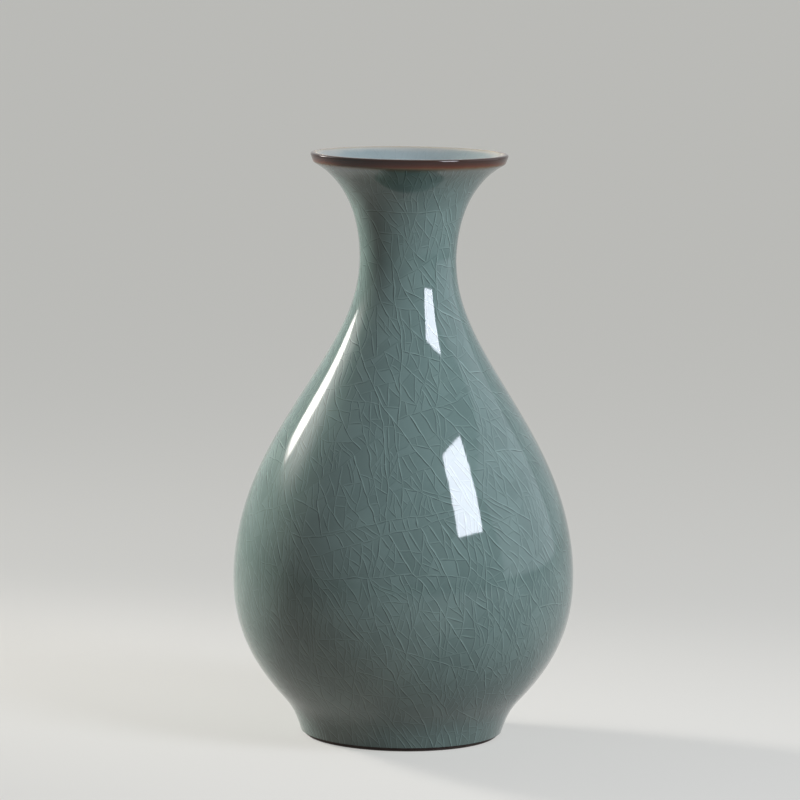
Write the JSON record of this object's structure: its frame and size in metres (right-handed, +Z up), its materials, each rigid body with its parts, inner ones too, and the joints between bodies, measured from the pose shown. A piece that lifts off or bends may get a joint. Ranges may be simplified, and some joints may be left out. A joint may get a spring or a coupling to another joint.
{
  "type": "porcelain vase",
  "caption": "Pear-shaped vase with a slender neck, flared mouth, full belly and turned foot, in crackled celadon glaze with a brown rim; holds flowers or stands for display.",
  "frame": {"origin": "centre of the foot on the table that the vase stands on", "axes": "+Z up along the vase's axis of symmetry, from the foot to the mouth"},
  "size_m": [0.1952, 0.1952, 0.335],
  "materials": {
    "celadon_glaze": "glossy grey-green crackle glaze",
    "brown_glaze": "glossy iron-brown glaze",
    "biscuit_clay": "matt fired body under the glaze",
    "slip": "matt fired luting slip",
    "bare_clay": "matt iron-brown bare clay"
  },
  "bodies": {
    "root": {"foot_ring": "bare_clay", "lower_body": "biscuit_clay", "upper_body": "biscuit_clay", "neck": "biscuit_clay", "foot_joint_slip": "slip", "belly_joint_slip": "slip", "neck_joint_slip": "slip", "outer_glaze": "celadon_glaze", "inner_glaze": "celadon_glaze", "base_glaze": "celadon_glaze", "rim_glaze": "brown_glaze"}
  },
  "joints": []
}
